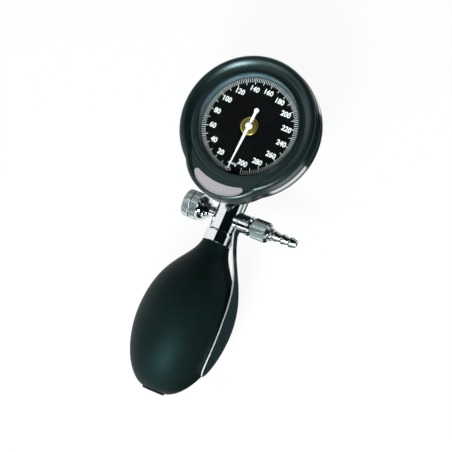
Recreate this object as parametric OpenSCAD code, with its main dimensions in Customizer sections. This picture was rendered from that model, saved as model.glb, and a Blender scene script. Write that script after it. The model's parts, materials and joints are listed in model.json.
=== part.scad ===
// Hand-held aneroid sphygmomanometer: gauge head, valve body, spoon and bulb.
// Y runs along the valve body towards the gauge head, Z comes out of the dial,
// and X points to the hose connector. The part lies on its back on Z = 0.

/* [Gauge head] */
// Outer radius of the head
head_r = 38; // [36:0.5:42]
// Distance of the dial face in front of the valve body's axis
dial_lift = 24; // [23.5:0.25:28]
// Clockwise turn of the head on its stem
head_turn = 4; // [0:1:8]
// Height of the rim's crest above the dial face
rim_front = 6.8; // [6:0.2:9]
// Rounding of the front rim's outer edge
rim_round = 2.2; // [1:0.2:3]
// How far the chin reaches out past the rim
chin_reach = 5.25; // [4.75:0.25:6.5]
// Radius of the chin
chin_r = 26.5; // [25.5:0.5:27.5]
// Radius of the concave blend between rim and chin
chin_blend_r = 14; // [8:1:18]
// Wall thickness of both housings
housing_wall = 2.2; // [1.6:0.1:2.6]
// Depth of the trim band between the two housings
trim_depth = 4; // [3:0.5:6]
// How far the trim band stands out of the housings
trim_proud = 0.25; // [0.1:0.05:0.6]
// Depth of the rear housing's rim
rear_rim_depth = 5; // [4.5:0.5:7]
// Outer radius of the rear cup
cup_r = 28.4; // [27.5:0.2:30]
// Depth of the rear face behind the dial face
cup_depth = 32; // [32:0.5:36]
// Badge plate's thickness
badge_t = 0.6; // [0.4:0.1:0.8]

/* [Dial and lens] */
// Radius of the window in the front housing
window_r = 28.5; // [27:0.25:29]
// Height of the lens's underside above the dial face
lens_gap = 2.6; // [2.4:0.1:3.2]
// Thickness of the lens
lens_t = 1.5; // [1:0.1:2]
// How far the lens reaches past the window's edge
lens_lap = 1.5; // [1:0.1:1.8]
// Thickness of the dial plate
dial_t = 0.6; // [0.4:0.1:1]
// Length of the pointer's needle from the hub's centre
needle_len = 25.4; // [23:0.2:26]
// Length of the pointer's tail from the hub's centre
tail_len = 8.9; // [6:0.1:11]
// Thickness of the pointer
pointer_t = 0.4; // [0.2:0.1:0.6]

/* [Movement] */
// Gear module
gear_m = 0.3; // [0.28:0.01:0.31]
// Teeth of the pinion
pinion_teeth = 10; // [10:1:11]
// Teeth of the full circle that the sector gear is cut from
sector_teeth = 110; // [106:1:110]
// Pointer's sweep over the whole scale
sweep = 343; // [300:1:350]
// Radius of the movement's plates
plate_r = 23.5; // [22.5:0.25:24]
// Thickness of the movement's plates
plate_t = 1; // [0.8:0.1:1.2]
// Lever from the rocking shaft to the capsule's button
button_lever = 2.4; // [2:0.1:2.6]
// Lever from the rocking shaft to the sector's drive pin
drive_lever = 3.3; // [3:0.1:3.5]
// Radius of the capsule
capsule_r = 18; // [15:0.5:18.5]
// Thickness of the capsule
capsule_t = 4.3; // [4:0.1:4.6]

/* [Valve body] */
// Radius of the valve body
body_r = 7.65; // [7.4:0.05:8.2]
// Top of the valve body above the collar's lower edge
body_top = 31; // [30:0.25:31.5]
// Height of the hose port and release valve above the collar's lower edge
port_y = 15.5; // [15.3:0.1:16.5]
// Radius of the main air way
bore_r = 2.2; // [1.6:0.1:2.4]
// Radius of the collar over the bulb's neck
collar_r = 8.15; // [8:0.05:8.8]
// Height of the collar
collar_h = 6.6; // [6.2:0.1:7]
// Thickness of the washer between collar and body
washer_t = 0.4; // [0.3:0.1:0.6]
// Radius of the gauge's inlet stem
stem_r = 2.6; // [2.2:0.1:2.6]
// Opening travel of the outlet valve
outlet_lift = 0.8; // [0.5:0.1:1]

/* [Release valve] */
// Radius of the release knob
knob_r = 7.7; // [7:0.1:8.2]
// Length of the knob's knurled grip
knob_grip = 9.4; // [9:0.2:14]
// Length of the knob's domed shoulder
knob_dome = 5.8; // [4:0.2:6.5]
// Radius of the bonnet that the needle turns in
bonnet_r = 3.35; // [3:0.05:3.6]
// Distance from the body's axis to the bonnet's outer end
bonnet_end = 10.2; // [9.8:0.1:11]
// Radius of the release needle
needle_r = 1.5; // [1.3:0.05:1.6]
// Travel of the release needle from shut to fully open
release_travel = 1.5; // [1:0.1:1.8]
// Grooves of the knurl around the knob
knob_knurls = 60; // [40:2:72]

/* [Hose connector] */
// Radius of the hose port
port_r = 5.5; // [5.3:0.05:6]
// Length of the hose port outside the spoon's eyelet
port_len = 7.3; // [6:0.1:9]
// Radius of the lock nut
nut_r = 5.7; // [5.5:0.05:6.2]
// Length of the lock nut
nut_len = 10; // [9.4:0.1:12]
// Grooves of the knurl around the nut
nut_knurls = 44; // [30:2:56]
// Radius of the barb's crests
barb_r = 2.85; // [2.7:0.05:3]
// Distance from one barb to the next
barb_pitch = 4.7; // [3.8:0.1:5]
// Number of barbs
barb_count = 3; // [2:1:4]
// Radius of the air way through the barb
barb_bore_r = 1.1; // [0.8:0.1:1.3]

/* [Bulb] */
// Length of the bulb from the collar to its end
bulb_len = 86; // [80:1:96]
// Largest radius of the bulb
bulb_r = 25.3; // [24:0.1:28]
// Radius of the bulb's neck below the collar
bulb_neck_r = 7.9; // [7.7:0.05:8]
// Wall thickness of the bulb
bulb_wall = 2.2; // [1.8:0.1:3]
// Radius of the lip around the intake valve
lip_r = 6.4; // [6.2:0.1:7.4]
// How far the lip stands out
lip_h = 1.2; // [0.8:0.1:2]
// Inner radius of the bulb's neck and end
neck_bore_r = 4.5; // [4.2:0.05:4.6]
// Opening travel of the intake valve
intake_lift = 1; // [0.6:0.1:1.2]

/* [Spoon] */
// Thickness of the spoon's sheet
spoon_t = 0.9; // [0.7:0.05:1]
// Half width of the spoon's handle
handle_half = 3.6; // [3:0.1:4.5]
// Half width of the spoon's bowl
bowl_half = 9.6; // [8:0.2:12]
// How far the spoon stops short of the bulb's end
spoon_short = 16.5; // [14:0.5:20]
// Space between the spoon and the bulb
spoon_gap = 0.35; // [0.3:0.05:0.8]

/* [Clearances] */
// Radial clearance of a turning or sliding fit
running = 0.05; // [0.03:0.01:0.1]
// Radial clearance of a seated piece
seated = 0.05; // [0.03:0.01:0.1]
// Space between soft or curved pieces that lie together
soft_gap = 0.3; // [0.2:0.05:0.4]

/* [Hidden] */
$fn = 96;
eps = 0.01;

// Gear train, and the rocking shaft that drives it
gear_ratio = sector_teeth / pinion_teeth;
sector_swing = sweep / gear_ratio;
pinion_pitch_r = gear_m * pinion_teeth / 2;
sector_pitch_r = gear_m * sector_teeth / 2;
centre_gap = pinion_pitch_r + sector_pitch_r;
backlash = 0.03;
sector_t = 0.8;
drive_pin_r = 0.4;
finger_r = 0.5;
rocker_r = 0.8;
rocker_y = button_lever;
sector_y = rocker_y + finger_r + drive_pin_r + running;
sector_x = -sqrt(centre_gap * centre_gap - sector_y * sector_y);
mesh_angle = atan2(-sector_y, -sector_x);

// Heights in the head, measured from the dial face along the pointer's axis
skirt = 1;
trim_top = -skirt;
trim_bottom = trim_top - trim_depth;
rim_back = trim_bottom - rear_rim_depth;
rear_face = -cup_depth;
cup_floor = rear_face + 2;
lens_top = lens_gap + lens_t;
gasket_t = 0.4;
lip_top = lens_top + gasket_t + 0.7;
chin_face = rim_front - 2.1;
lens_r = window_r + lens_lap;
chin_drop = head_r + chin_reach - chin_r;
rear_drop = chin_drop - 1;
ring_slope = 1.2;
dial_seat_r = lens_r + 0.7;
dial_r = dial_seat_r - soft_gap;

// Heights of the movement's layers
top_plate_z = -dial_t - 3.2;
hairspring_z = top_plate_z - 1.6;
hairspring_h = 0.6;
sector_z = hairspring_z - 1.6;
pinion_h = 1.8;
rocker_z = sector_z - sector_t / 2 - 0.4 - finger_r - drive_lever;
bottom_plate_z = rocker_z + 1.6 + plate_t;
button_top = rocker_z - button_lever * sin(sector_swing / 2) - finger_r - running;
button_h = 1.1;
capsule_top = button_top - button_h;
capsule_bottom = capsule_top - capsule_t;
base_plate_z = capsule_bottom - 1.2 - 1.2;
base_plate_t = 1.2;
block_h = 6.8;
block_r = 7;
arbor_r = 0.6;
pivot_r = 0.35;
bush_flange_r = 5;
bush_flange_t = 0.35;
pointer_z = bush_flange_t + 0.55;
arbor_top = pointer_z + pointer_t + 0.5;
hub_r = 1.9;

pillar_r = 1.4;
pillar_ring = plate_r - pillar_r - 1.1;
pillar_angles = [30, 150, 270];
screw_r = 1.1;
screw_head_r = 2.1;
screw_head_h = 1.4;
housing_screw_angles = [45, 135, 225, 315];
housing_screw_ring = (head_r + dial_seat_r) / 2;
base_screw_angles = [90, 210, 330];
base_screw_ring = 17.5;
housing_screw_end = trim_top + 3;
stem_axis_z = -dial_lift;

// Valve body, from the bulb upwards
body_bottom = collar_h + washer_t;
stem_thread_r = 3.95;
outlet_seat_y = body_bottom + 2;
outlet_disc_t = 0.8;
outlet_room = outlet_seat_y + outlet_disc_t + outlet_lift + 1.3;
top_bore_r = stem_r + seated;
stem_nut_t = 1.8;
stem_socket_out = 1.6;
head_y = body_top + stem_nut_t + 0.2 + stem_socket_out + cup_r;
top_bore_y = body_top - 6.6;
seal_t = 0.6;
filter_t = 2;
stem_flange_t = 1;
collar_web = 1;
collar_wall = 0.8;
side_bore_r = 3.2;
side_bore_x = 4;
way_r = 1.6;

// Release valve, measured from the body's axis towards -X
bonnet_inner = 3.8;
bonnet_thread_r = 2.85;
seat_end = 2.4;
packing_depth = 1.3;
needle_collar_r = 2.15;
needle_collar_t = 0.8;
knob_near = bonnet_end + 0.4;
knob_far = knob_near + knob_dome + knob_grip;
needle_tip = bonnet_inner - 1.2;

// Hose connector, measured from the body's axis towards +X
eyelet_x = max(body_r, collar_r - 0.5);
port_x = eyelet_x + spoon_t;
port_end = port_x + port_len;
port_stub = 4.2;
stub_r = 3.7;
nut_x = port_end + 0.4;
nut_end = nut_x + nut_len;
nut_cavity_r = stub_r + soft_gap;
flange_x = port_end + port_stub + 0.2;
flange_t = 1.4;
nut_web_x = flange_x + flange_t + running;
shank_r = 3.2;
barb_start = nut_end + 2;
barb_root_r = barb_r - 0.75;
crest_len = 1;
barb_end = barb_start + barb_count * barb_pitch;
luer_r = 1.95;

// Bulb, with heights measured downwards from the collar's lower edge
bulb_belly = 0.557 * bulb_len;
bulb_close_r = lip_r + 1.2;
neck_top = collar_h - collar_web - stem_flange_t - 0.2;
neck_plug_len = 9;
intake_len = 10;

// Knurl and origin
knurl_depth = 0.25;
x_left = head_r + trim_proud;
x_right = barb_end;
y_top = head_y + head_r + trim_proud;
y_bottom = bulb_len + lip_h;
origin_shift = [(x_left - x_right) / 2, (y_bottom - y_top) / 2, bulb_r];

function arc(r, a0, a1, n, c = [0, 0]) =
    [for (i = [0:n]) let (a = a0 + (a1 - a0) * i / n) c + r * [cos(a), sin(a)]];

function bezier_at(p, t) = let (u = 1 - t)
    u * u * u * p[0] + 3 * u * u * t * p[1] + 3 * u * t * t * p[2] + t * t * t * p[3];

function bezier(p, n, first = 0) = [for (i = [first:n]) bezier_at(p, i / n)];

function smooth(t) = let (c = max(0, min(1, t))) c * c * (3 - 2 * c);

module placed() translate(origin_shift) children();

module in_head() placed() translate([0, head_y, dial_lift]) rotate([0, 0, -head_turn]) children();

module up_y(y = 0) placed() translate([0, y, 0]) rotate([-90, 0, 0]) children();

module out_x(x = 0) placed() translate([x, port_y, 0]) rotate([0, 90, 0]) children();

module out_left(x = 0) placed() translate([-x, port_y, 0]) rotate([0, -90, 0]) children();

module disc(r, z0, z1) translate([0, 0, z0]) cylinder(r = r, h = z1 - z0);

module tube(r_out, r_in, h) difference() {
    cylinder(r = r_out, h = h);
    translate([0, 0, -eps]) cylinder(r = r_in, h = h + 2 * eps);
}

module ring_of(angles, r) for (a = angles) rotate(a) translate([r, 0, 0]) children();

// Grooved round outline of a knurl
module knurl_outline(r, count) polygon([for (i = [0:2 * count - 1])
    let (a = 180 * i / count, q = r - (i % 2) * knurl_depth) q * [cos(a), sin(a)]]);

// Head outline: the round rim, the chin and the two concave blends between them
module head_outline(grow = 0, drop = chin_drop) {
    far = head_r + chin_blend_r;
    near = chin_r + chin_blend_r;
    blend_y = (near * near - far * far - drop * drop) / (2 * drop);
    blend_x = sqrt(far * far - blend_y * blend_y);
    circle(head_r + grow);
    translate([0, -drop]) circle(chin_r + grow);
    for (side = [0, 1]) mirror([side, 0]) difference() {
        polygon([[0, 0], [-blend_x, blend_y], [0, -drop]]);
        translate([-blend_x, blend_y]) circle(chin_blend_r - grow);
    }
}

// Disc with a rounded top edge
module round_disc(r, z0, z1, round) rotate_extrude() polygon(concat([[0, z0], [r, z0]],
    arc(round, 0, 90, 8, [r - round, z1 - round]), [[0, z1]]));

module front_housing() color([0.09, 0.11, 0.11]) in_head() difference() {
    union() {
        round_disc(head_r, trim_top, rim_front, rim_round);
        translate([0, -chin_drop, 0]) round_disc(chin_r, trim_top, rim_front - 0.2, rim_round);
        translate([0, 0, trim_top]) linear_extrude(skirt + rim_front - 0.2 - rim_round)
            head_outline();
    }
    // Dished face that falls from the crest to the window's lip
    rotate_extrude() polygon(concat([[0, lip_top], [window_r + 0.9, lip_top],
        [window_r + 1.6, lip_top - 0.5], [window_r + 2.4, lip_top - 0.5]],
        arc(7.5, -75, -38, 8, [window_r + 1.1, lip_top + 6.6]),
        [[head_r - 2.4, rim_front + 1], [0, rim_front + 1]]));
    translate([0, -chin_drop, chin_face]) rotate_extrude() polygon(concat([[0, 0]],
        arc(1.4, -90, -10, 6, [chin_r - 3.4, 1.4]), [[chin_r - 1.7, 5], [0, 5]]));
    // Window, lens seat and dial seat
    disc(window_r, trim_top - 1, lip_top + 1);
    disc(lens_r + seated, trim_top - 1, lens_top + gasket_t);
    disc(dial_seat_r, trim_top - 1, lens_gap);
    // Hollow between the dial seat and the outer wall, around the screw bosses
    difference() {
        translate([0, 0, trim_top - eps]) linear_extrude(skirt + chin_face - housing_wall)
            head_outline(-housing_wall);
        translate([0, 0, trim_top - 1]) cylinder(r = dial_seat_r + housing_wall, h = 20);
        ring_of(housing_screw_angles, housing_screw_ring) translate([0, 0, trim_top - 1])
            cylinder(r = screw_r + 1.4, h = 20);
    }
    ring_of(housing_screw_angles, housing_screw_ring)
        disc(screw_r + seated, trim_top - 1, housing_screw_end + 0.4);
    translate([0, 0, chin_face - badge_t + 0.2]) linear_extrude(2) badge_outline(seated);
}

module lens_gasket() color([0.05, 0.05, 0.05]) in_head() translate([0, 0, lens_top])
    tube(lens_r, window_r + 0.3, gasket_t);

module lens() color([0.85, 0.9, 0.92, 0.3]) in_head() translate([0, 0, lens_gap])
    cylinder(r = lens_r, h = lens_t);

// Ring between dial and lens, with a sloped inner face
module dial_ring() color([0.45, 0.5, 0.53]) in_head() rotate_extrude() polygon([
    [window_r - ring_slope, 0], [dial_seat_r - seated, 0],
    [dial_seat_r - seated, lens_gap], [window_r, lens_gap]]);

// Crescent with rounded ends, between the rim's circle and a smaller circle below it
module badge_outline(grow = 0) {
    top_r = head_r - 3.05;
    low_r = 18;
    low_y = -chin_drop - chin_r + 0.9 + low_r;
    end_r = 1.5;
    a = top_r + end_r;
    b = low_r - end_r;
    end_y = (a * a - b * b + low_y * low_y) / (2 * low_y);
    end_x = sqrt(a * a - end_y * end_y);
    top_a = atan2(end_y, end_x);
    low_a = atan2(end_y - low_y, end_x);
    polygon(concat(
        arc(top_r - grow, -180 - top_a, top_a, 24),
        arc(end_r + grow, top_a + 180, low_a, 8, [end_x, end_y]),
        arc(low_r + grow, low_a, -180 - low_a, 24, [0, low_y]),
        arc(end_r + grow, -180 - low_a, -top_a - 360, 8, [-end_x, end_y])));
}

module badge_plate() color([0.78, 0.78, 0.8]) in_head()
    translate([0, 0, chin_face - badge_t + 0.2]) linear_extrude(badge_t) badge_outline();

module trim_band() color([0.7, 0.72, 0.74]) in_head() translate([0, 0, trim_bottom])
    difference() {
        linear_extrude(trim_depth) head_outline(trim_proud);
        translate([0, 0, -eps]) linear_extrude(trim_depth + 2 * eps) head_outline(-housing_wall);
        ring_of(housing_screw_angles, housing_screw_ring) translate([0, 0, -eps])
            cylinder(r = screw_r + seated, h = trim_depth + 2 * eps);
    }

module rear_housing() color([0.06, 0.07, 0.07]) in_head() difference() {
    union() {
        translate([0, 0, rim_back + 1.5]) linear_extrude(rear_rim_depth - 1.5)
            head_outline(0, rear_drop);
        translate([0, 0, rim_back]) linear_extrude(1.5 + eps) head_outline(-1, rear_drop);
        // Shoulder and cup
        rotate_extrude() polygon(concat([[0, rim_back + 1], [head_r - 3, rim_back + 1],
            [head_r - 3, rim_back], [cup_r + 1.4, rim_back - 4]],
            arc(4, -8, -90, 8, [cup_r - 5, rear_face + 4]), [[0, rear_face]]));
        // Bosses inside the rim for the housing screws, and the socket for the inlet stem
        rotate(head_turn) translate([0, -cup_r + 4, stem_axis_z]) rotate([90, 0, 0])
            cylinder(r = stem_r + 3, h = 4 + stem_socket_out);
    }
    difference() {
        translate([0, 0, rim_back + housing_wall]) linear_extrude(rear_rim_depth)
            head_outline(-housing_wall, rear_drop);
        ring_of(housing_screw_angles, housing_screw_ring) translate([0, 0, rim_back])
            cylinder(r = screw_r + 1.4, h = rear_rim_depth + 2);
    }
    difference() {
        rotate_extrude() polygon(concat([[0, rim_back + 3], [head_r - 5.5, rim_back + 3],
            [head_r - 5.5, rim_back + 1.4], [cup_r - 0.8, rim_back - 3]],
            arc(2, -8, -90, 6, [cup_r - 4.8, cup_floor + 2]), [[0, cup_floor]]));
        ring_of(base_screw_angles, base_screw_ring) translate([0, 0, rear_face])
            cylinder(r = screw_r + 1.5, h = cup_depth + base_plate_z);
        rotate(head_turn) translate([0, -cup_r + 4, stem_axis_z]) rotate([90, 0, 0])
            cylinder(r = stem_r + 3, h = 4 + stem_socket_out);
    }
    ring_of(housing_screw_angles, housing_screw_ring) screw_hole(rim_back);
    ring_of(base_screw_angles, base_screw_ring) screw_hole(rear_face);
    rotate(head_turn) translate([0, 0, stem_axis_z]) rotate([90, 0, 0])
        cylinder(r = stem_r + seated, h = cup_r + 6);
}

// Counterbored hole that a screw goes into from the face at z
module screw_hole(z) {
    disc(screw_r + seated, z - 1, z + 20);
    disc(screw_head_r + seated, z - 1, z + screw_head_h);
}

// Screw with a cross slot, its head sunk in the face at z and its shank up to end
module screw(z, end) difference() {
    union() {
        disc(screw_head_r, z + 0.1, z + screw_head_h);
        disc(screw_r, z + 0.1, end);
    }
    for (a = [0, 90]) rotate(a) translate([-1.3, -0.25, z]) cube([2.6, 0.5, 0.8]);
}

module housing_screws() color([0.5, 0.51, 0.52]) in_head()
    ring_of(housing_screw_angles, housing_screw_ring) screw(rim_back, housing_screw_end);

module base_screws() color([0.5, 0.51, 0.52]) in_head()
    ring_of(base_screw_angles, base_screw_ring) screw(rear_face, base_plate_z + base_plate_t - 0.2);

module dial_plate() color([0.03, 0.03, 0.03]) in_head() {
    translate([0, 0, -dial_t]) tube(dial_r, 1.5, dial_t);
    // Feet that stand in the top plate
    for (x = [-13, 13]) translate([x, 9, top_plate_z + plate_t / 2])
        cylinder(r = 1, h = -dial_t - top_plate_z - plate_t / 2 + 0.1);
}

module dial_bush() color([0.72, 0.56, 0.24]) in_head() difference() {
    union() {
        cylinder(r = bush_flange_r, h = bush_flange_t);
        tube(4.2, 3.2, bush_flange_t + 0.15);
        translate([0, 0, top_plate_z]) cylinder(r = 1.4, h = -top_plate_z + eps);
    }
    translate([0, 0, top_plate_z - eps]) cylinder(r = arbor_r + running, h = 10);
}

module pointer() color([0.95, 0.95, 0.93]) in_head() translate([0, 0, pointer_z])
    difference() {
        union() {
            translate([0, 0, -0.3]) cylinder(r = hub_r, h = pointer_t + 0.6);
            linear_extrude(pointer_t) {
                polygon([[-0.85, 0], [-0.22, -needle_len], [0.22, -needle_len], [0.85, 0]]);
                polygon([[-0.65, 0], [-0.8, tail_len], [0.8, tail_len], [0.65, 0]]);
                translate([0, tail_len]) circle(1.35, $fn = 48);
            }
        }
        translate([0, 0, -1]) cylinder(r = arbor_r, h = 4);
    }

// Involute flank of a gear, as polar points [radius, half tooth angle]
function flank(teeth, r_tip, n) = let (r_pitch = gear_m * teeth / 2, r_base = r_pitch * cos(20),
        half = 90 / teeth - (backlash / 2 / r_pitch) * 180 / PI,
        inv_pitch = tan(20) * 180 / PI - 20)
    [for (i = [0:n]) let (r = max(r_base, r_pitch - 0.3 * gear_m) + (r_tip
            - max(r_base, r_pitch - 0.3 * gear_m)) * i / n,
        a = acos(min(1, r_base / r))) [r, half + inv_pitch - (tan(a) * 180 / PI - a)]];

// One tooth centred on angle a, from its root up over the tip and down again
function tooth(teeth, r_root, r_tip, a) = let (f = flank(teeth, r_tip, 4), k = len(f) - 1)
    concat([r_root * [cos(a - f[0][1]), sin(a - f[0][1])]],
        [for (i = [0:k]) f[i][0] * [cos(a - f[i][1]), sin(a - f[i][1])]],
        [for (i = [k:-1:0]) f[i][0] * [cos(a + f[i][1]), sin(a + f[i][1])]],
        [r_root * [cos(a + f[0][1]), sin(a + f[0][1])]]);

module pinion_outline() polygon([for (i = [0:pinion_teeth - 1])
    each tooth(pinion_teeth, pinion_pitch_r - 0.8 * gear_m, pinion_pitch_r + gear_m,
        360 * i / pinion_teeth)]);

module pointer_arbor() color([0.75, 0.6, 0.3]) in_head() {
    translate([0, 0, sector_z - pinion_h / 2]) cylinder(r = arbor_r,
        h = arbor_top - sector_z + pinion_h / 2, $fn = 48);
    translate([0, 0, bottom_plate_z - plate_t + 0.1]) cylinder(r = pivot_r,
        h = sector_z - bottom_plate_z + plate_t, $fn = 48);
    // Pinion, with a gap towards the sector when the sector stands at mid swing
    translate([0, 0, sector_z - pinion_h / 2]) linear_extrude(pinion_h)
        rotate(mesh_angle + 180 + sweep / 2 + 180 / pinion_teeth) pinion_outline();
    // Collet for the hairspring
    translate([0, 0, hairspring_z - 0.1]) cylinder(r = 1.2, h = hairspring_h + 0.2, $fn = 48);
}

spring_turns = 4.5;
spring_in = 1.2 + running;
spring_out = 5.4;
spring_t = 0.16;
function spring_point(t, side) = let (r = spring_in + (spring_out - spring_in) * t
    + side * spring_t) r * [cos(360 * spring_turns * t), sin(360 * spring_turns * t)];

module hairspring() color([0.7, 0.72, 0.75]) in_head() translate([0, 0, hairspring_z])
    linear_extrude(hairspring_h) polygon(concat(
        [for (i = [0:126]) spring_point(i / 126, 0)],
        [for (i = [126:-1:0]) spring_point(i / 126, 1)]));

module hairspring_stud() color([0.75, 0.6, 0.3]) in_head()
    translate([-spring_out - spring_t - 0.5 - running, 0, hairspring_z])
        cylinder(r = 0.5, h = top_plate_z - hairspring_z, $fn = 48);

module sector_gear() color([0.75, 0.6, 0.3]) in_head()
    translate([sector_x, sector_y, sector_z - sector_t / 2]) rotate(-sector_swing / 2)
        difference() {
            union() {
                linear_extrude(sector_t) rotate(mesh_angle) difference() {
                    polygon(concat([[0, 0]], [for (i = [-8:8]) each tooth(sector_teeth,
                        sector_pitch_r - 1.3 * gear_m, sector_pitch_r + 0.5 * gear_m,
                        360 * i / sector_teeth)]));
                    difference() {
                        polygon([[3.2, 0.9], [13.6, 4.6], [13.6, -4.6], [3.2, -0.9]]);
                        translate([3, -0.7]) square([11, 1.4]);
                    }
                }
                cylinder(r = 1.7, h = sector_t);
                translate([0, -0.8, 0]) cube([drive_lever, 1.6, sector_t]);
                translate([drive_lever, 0, 0]) cylinder(r = 0.8, h = sector_t);
                // Drive pin that the rocking shaft pushes
                translate([drive_lever, 0, -1.5]) cylinder(r = drive_pin_r, h = 1.6, $fn = 48);
            }
            translate([0, 0, -eps]) cylinder(r = arbor_r, h = 2, $fn = 48);
        }

module sector_arbor() color([0.62, 0.64, 0.66]) in_head()
    translate([sector_x, sector_y, bottom_plate_z - plate_t + 0.1]) {
        cylinder(r = pivot_r, h = top_plate_z + plate_t - bottom_plate_z + plate_t - 0.2, $fn = 48);
        translate([0, 0, plate_t + 0.1]) cylinder(r = arbor_r,
            h = top_plate_z - bottom_plate_z - 0.4, $fn = 48);
    }

// Pivot hole through a plate
module pivot(x, y, z) translate([x, y, z - plate_t - 1]) cylinder(r = pivot_r + running,
    h = 2 * plate_t + 2, $fn = 48);

module top_plate() color([0.72, 0.6, 0.34]) in_head() difference() {
    translate([0, 0, top_plate_z]) cylinder(r = plate_r, h = plate_t);
    pivot(sector_x, sector_y, top_plate_z);
    translate([0, 0, top_plate_z - 1]) cylinder(r = 1.4 + seated, h = 4);
    for (x = [-13, 13]) translate([x, 9, top_plate_z - 1]) cylinder(r = 1 + seated, h = 4);
    // Windows beside the bridge
    for (a = [0, 180]) rotate(a + 60) translate([13, 0, top_plate_z - 1]) cylinder(r = 4.5, h = 4);
}

module bottom_plate() color([0.72, 0.6, 0.34]) in_head() difference() {
    translate([0, 0, bottom_plate_z - plate_t]) cylinder(r = plate_r, h = plate_t);
    pivot(0, 0, bottom_plate_z);
    pivot(sector_x, sector_y, bottom_plate_z);
    // Slot for the drive finger
    translate([sector_x + drive_lever - 1.2, rocker_y - drive_lever / 2 - 0.6,
        bottom_plate_z - plate_t - 1]) cube([2.2, drive_lever + 1.2, plate_t + 2]);
}

module plate_pillars() color([0.75, 0.6, 0.3]) in_head()
    ring_of(pillar_angles, pillar_ring) translate([0, 0, bottom_plate_z])
        cylinder(r = pillar_r, h = top_plate_z - bottom_plate_z, $fn = 48);

module base_pillars() color([0.75, 0.6, 0.3]) in_head()
    ring_of(pillar_angles, pillar_ring) translate([0, 0, base_plate_z + base_plate_t])
        cylinder(r = pillar_r, h = bottom_plate_z - plate_t - base_plate_z - base_plate_t, $fn = 48);

module base_plate() color([0.6, 0.62, 0.64]) in_head() difference() {
    translate([0, 0, base_plate_z]) cylinder(r = plate_r, h = base_plate_t);
    translate([0, 0, base_plate_z - 1]) cylinder(r = 2.5 + seated, h = 4);
    ring_of(base_screw_angles, base_screw_ring) translate([0, 0, base_plate_z - 1])
        cylinder(r = screw_r + seated, h = 4);
}

rocker_span = [sector_x + drive_lever - 3, 2.6];

module rocking_shaft() color([0.62, 0.64, 0.66]) in_head()
    translate([0, rocker_y, rocker_z]) rotate([sector_swing / 2, 0, 0]) {
        translate([rocker_span[0], 0, 0]) rotate([0, 90, 0])
            cylinder(r = pivot_r, h = rocker_span[1] - rocker_span[0], $fn = 48);
        translate([rocker_span[0] + 0.8, 0, 0]) rotate([0, 90, 0])
            cylinder(r = rocker_r, h = rocker_span[1] - rocker_span[0] - 1.6, $fn = 48);
        // Finger on the capsule's button
        translate([-0.3, -button_lever, -0.2]) cube([0.6, button_lever, 0.4]);
        translate([-0.6, -button_lever, 0]) rotate([0, 90, 0])
            cylinder(r = finger_r, h = 1.2, $fn = 48);
        // Finger on the sector's drive pin
        translate([sector_x + drive_lever - 0.3, -0.3, 0]) cube([0.6, 0.6, drive_lever]);
        translate([sector_x + drive_lever - 0.6, 0, drive_lever]) rotate([0, 90, 0])
            cylinder(r = finger_r, h = 1.2, $fn = 48);
    }

module rocker_brackets() color([0.72, 0.6, 0.34]) in_head()
    for (x = [rocker_span[0] + 0.1, rocker_span[1] - 0.7]) difference() {
        translate([x, rocker_y - 1.2, rocker_z - 0.85]) cube([0.6, 2.4, 0.85
            + bottom_plate_z - plate_t - rocker_z]);
        translate([x - 1, rocker_y, rocker_z]) rotate([0, 90, 0])
            cylinder(r = pivot_r + running, h = 3, $fn = 48);
    }

// Corrugated pressure capsule, hollow, with its stem through the base plate
module capsule() color([0.78, 0.62, 0.36]) in_head() translate([0, 0, capsule_bottom]) {
    wall = 0.35;
    wave = [for (i = [0:12]) [4 + (capsule_r - 5) * i / 12, (i % 2) * 0.35]];
    rotate_extrude() polygon(concat([[1, -3.6], [2.5, -3.6], [2.5, 0], [3.6, 0]],
        [for (p = wave) [p[0], p[1]]],
        [[capsule_r, capsule_t / 2 - 0.4], [capsule_r, capsule_t / 2 + 0.4]],
        [for (i = [12:-1:0]) [wave[i][0], capsule_t - wave[i][1]]],
        [[0, capsule_t], [0, capsule_t - wall]],
        [for (p = wave) [p[0], capsule_t - p[1] - wall]],
        [[capsule_r - 0.8, capsule_t / 2]],
        [for (i = [12:-1:0]) [wave[i][0], wave[i][1] + wall]],
        [[1, wall]]));
}

module capsule_button() color([0.75, 0.6, 0.3]) in_head() translate([0, 0, capsule_top]) {
    cylinder(r = 2, h = 0.4, $fn = 48);
    cylinder(r = 0.9, h = button_h, $fn = 48);
}

module inlet_block() color([0.75, 0.6, 0.3]) in_head() difference() {
    translate([0, 0, base_plate_z - block_h]) cylinder(r = block_r, h = block_h);
    translate([0, 0, base_plate_z - 2.6]) cylinder(r = 2.5 + seated, h = 4);
    translate([0, 0, stem_axis_z]) cylinder(r = 1, h = 6, $fn = 48);
    rotate(head_turn) translate([0, 0, stem_axis_z]) rotate([90, 0, 0]) {
        cylinder(r = 1, h = 12, $fn = 48);
        translate([0, 0, block_r - 3]) cylinder(r = stem_r + seated, h = 6);
    }
}

module inlet_stem() color([0.72, 0.74, 0.75]) up_y(top_bore_y + seal_t)
    tube(stem_r, 1, head_y - block_r + 3 - top_bore_y - seal_t - 0.1);

module stem_nut() color([0.72, 0.74, 0.75]) up_y(body_top + 0.1) difference() {
    cylinder(r = stem_r + 2.4, h = stem_nut_t, $fn = 6);
    translate([0, 0, -eps]) cylinder(r = stem_r + seated, h = 3);
}

module stem_seal() color([0.08, 0.08, 0.08]) up_y(top_bore_y) tube(stem_r, 1.2, seal_t);

module inlet_filter() color([0.8, 0.7, 0.5]) up_y(top_bore_y - filter_t - 0.5)
    cylinder(r = bore_r - seated, h = filter_t);

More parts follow.
